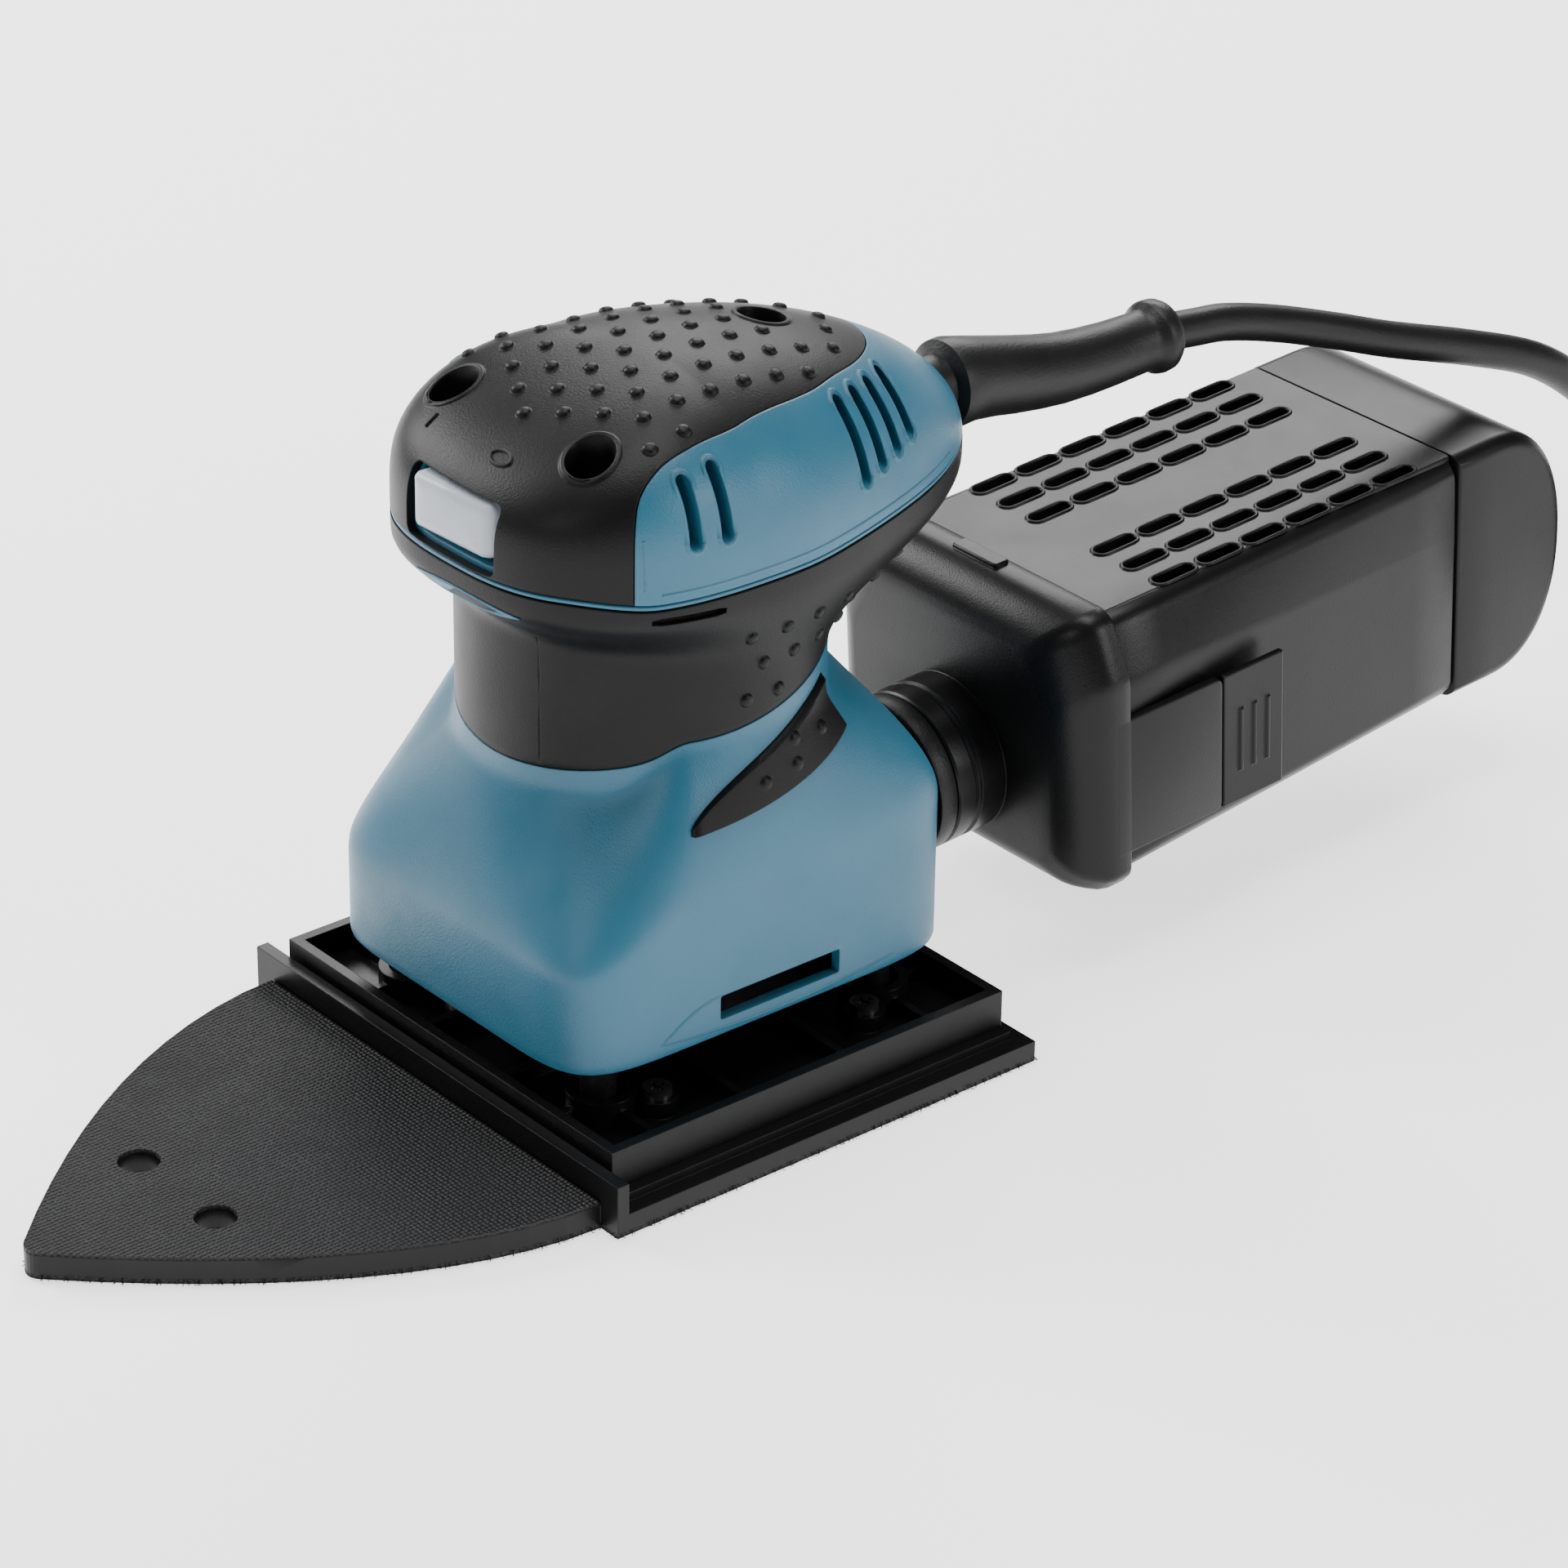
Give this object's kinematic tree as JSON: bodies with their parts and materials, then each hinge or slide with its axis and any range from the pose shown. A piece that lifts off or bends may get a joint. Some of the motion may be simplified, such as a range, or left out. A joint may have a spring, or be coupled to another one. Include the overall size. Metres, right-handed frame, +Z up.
{
  "type": "palm detail sander",
  "caption": "Palm-grip electric detail sander: iron-shaped orbiting hook pad, waisted motor housing, broad grip head with a front switch, rear dust box and mains lead.",
  "frame": {"origin": "on the floor under the motor axis, in the sanding face of the pad", "axes": "+Z up along the motor axis, -Y towards the pad's pointed tip, +Y towards the dust box and lead, +X to the tool's left"},
  "size_m": [0.1478, 0.5277, 0.1431],
  "materials": {
    "blue_shell": "satin, fine moulded grain",
    "black_grip": "satin soft grip skin",
    "black_plastic": "satin moulded plastic",
    "black_rubber": "matt rubber",
    "hook_fabric": "short hook pile",
    "felt": "pressed felt",
    "steel": "machined steel",
    "aluminium": "die cast",
    "zinc": "cast, plated",
    "laminations": "stacked electrical steel",
    "copper": "enamelled copper wire",
    "brass": "drawn brass",
    "carbon": "pressed carbon",
    "fan_plastic": "moulded nylon",
    "clear_boot": "milky translucent boot",
    "filter_cloth": "woven filter cloth"
  },
  "bodies": {
    "housing": {"motor_housing": "blue_shell", "grip_sleeve": "black_grip", "inlay_left": "black_grip", "inlay_right": "black_grip", "top_cover": "blue_shell", "cover_grip": "black_grip", "cover_screws": "steel", "support_legs": "black_rubber", "dust_spout": "black_plastic", "spout_seal": "black_rubber", "felt_ring": "felt", "baffle_plate": "black_plastic", "bearing_plate": "aluminium", "plate_screws": "steel", "lower_bearing": "steel", "upper_bearing": "steel", "bearing_bridge": "black_plastic", "field_core": "laminations", "field_coils": "copper", "brush_holders": "brass", "carbon_brushes": "carbon", "brush_springs": "steel", "switch_body": "black_plastic", "cord_clamp": "black_plastic", "clamp_screws": "steel", "cord_guard": "black_rubber", "cord": "black_rubber", "cord_coil": "black_rubber", "cord_tie": "black_plastic", "plug_body": "black_rubber", "plug_pins": "brass"},
    "rotor": {"motor_shaft": "steel", "counterweight": "zinc", "fan": "fan_plastic", "armature_core": "laminations", "armature_winding": "copper", "commutator": "copper", "pin_washer": "steel", "pin_screw": "steel"},
    "base": {"hook_pad": "hook_fabric", "pad_plate": "black_plastic", "hook_pad_tip": "hook_fabric", "base_frame": "black_plastic", "pad_screws": "steel", "pad_bearing": "steel", "bearing_cap": "aluminium", "cap_screws": "steel"},
    "rocker": {"switch_rocker": "black_plastic", "switch_boot": "clear_boot"},
    "box_front": {"dust_front": "black_plastic"},
    "box_rear": {"dust_body": "black_plastic", "dust_lid": "black_plastic", "dust_end_cap": "black_plastic", "filter_frame": "black_plastic", "filter_bag": "filter_cloth"},
    "left_latch": {"latch_left": "black_plastic"},
    "right_latch": {"latch_right": "black_plastic"}
  },
  "joints": [
    {"name": "rotor_spin", "type": "hinge", "parent": "housing", "child": "rotor", "pos_m": [0, 0, 0.06], "axis": [0, 0, 1], "continuous": true},
    {"name": "base_orbit", "type": "hinge", "parent": "rotor", "child": "base", "pos_m": [0, 0.00075, 0.012], "axis": [0, 0, 1], "continuous": true},
    {"name": "switch_rock", "type": "hinge", "parent": "housing", "child": "rocker", "pos_m": [0, -0.0377, 0.1214], "axis": [0, 0, -1], "range_deg": [0, 10]},
    {"name": "box_pull", "type": "slide", "parent": "housing", "child": "box_front", "axis": [0, 0.9979, 0.0645], "range_m": [0, 0.012]},
    {"name": "box_open", "type": "slide", "parent": "box_front", "child": "box_rear", "axis": [0, 0.9979, 0.0645], "range_m": [0, 0.008]},
    {"name": "left_latch_flex", "type": "hinge", "parent": "box_front", "child": "left_latch", "pos_m": [0.03725, 0.11506, 0.03988], "axis": [0, 0.0645, -0.9979], "range_deg": [0, 8], "stiffness_Nm_per_rad": 0.5},
    {"name": "right_latch_flex", "type": "hinge", "parent": "box_front", "child": "right_latch", "pos_m": [-0.03725, 0.11506, 0.03988], "axis": [0, -0.0645, 0.9979], "range_deg": [0, 8], "stiffness_Nm_per_rad": 0.5}
  ],
  "couplings": [
    {"joint": "base_orbit", "follows": "rotor_spin", "ratio": -1}
  ]
}
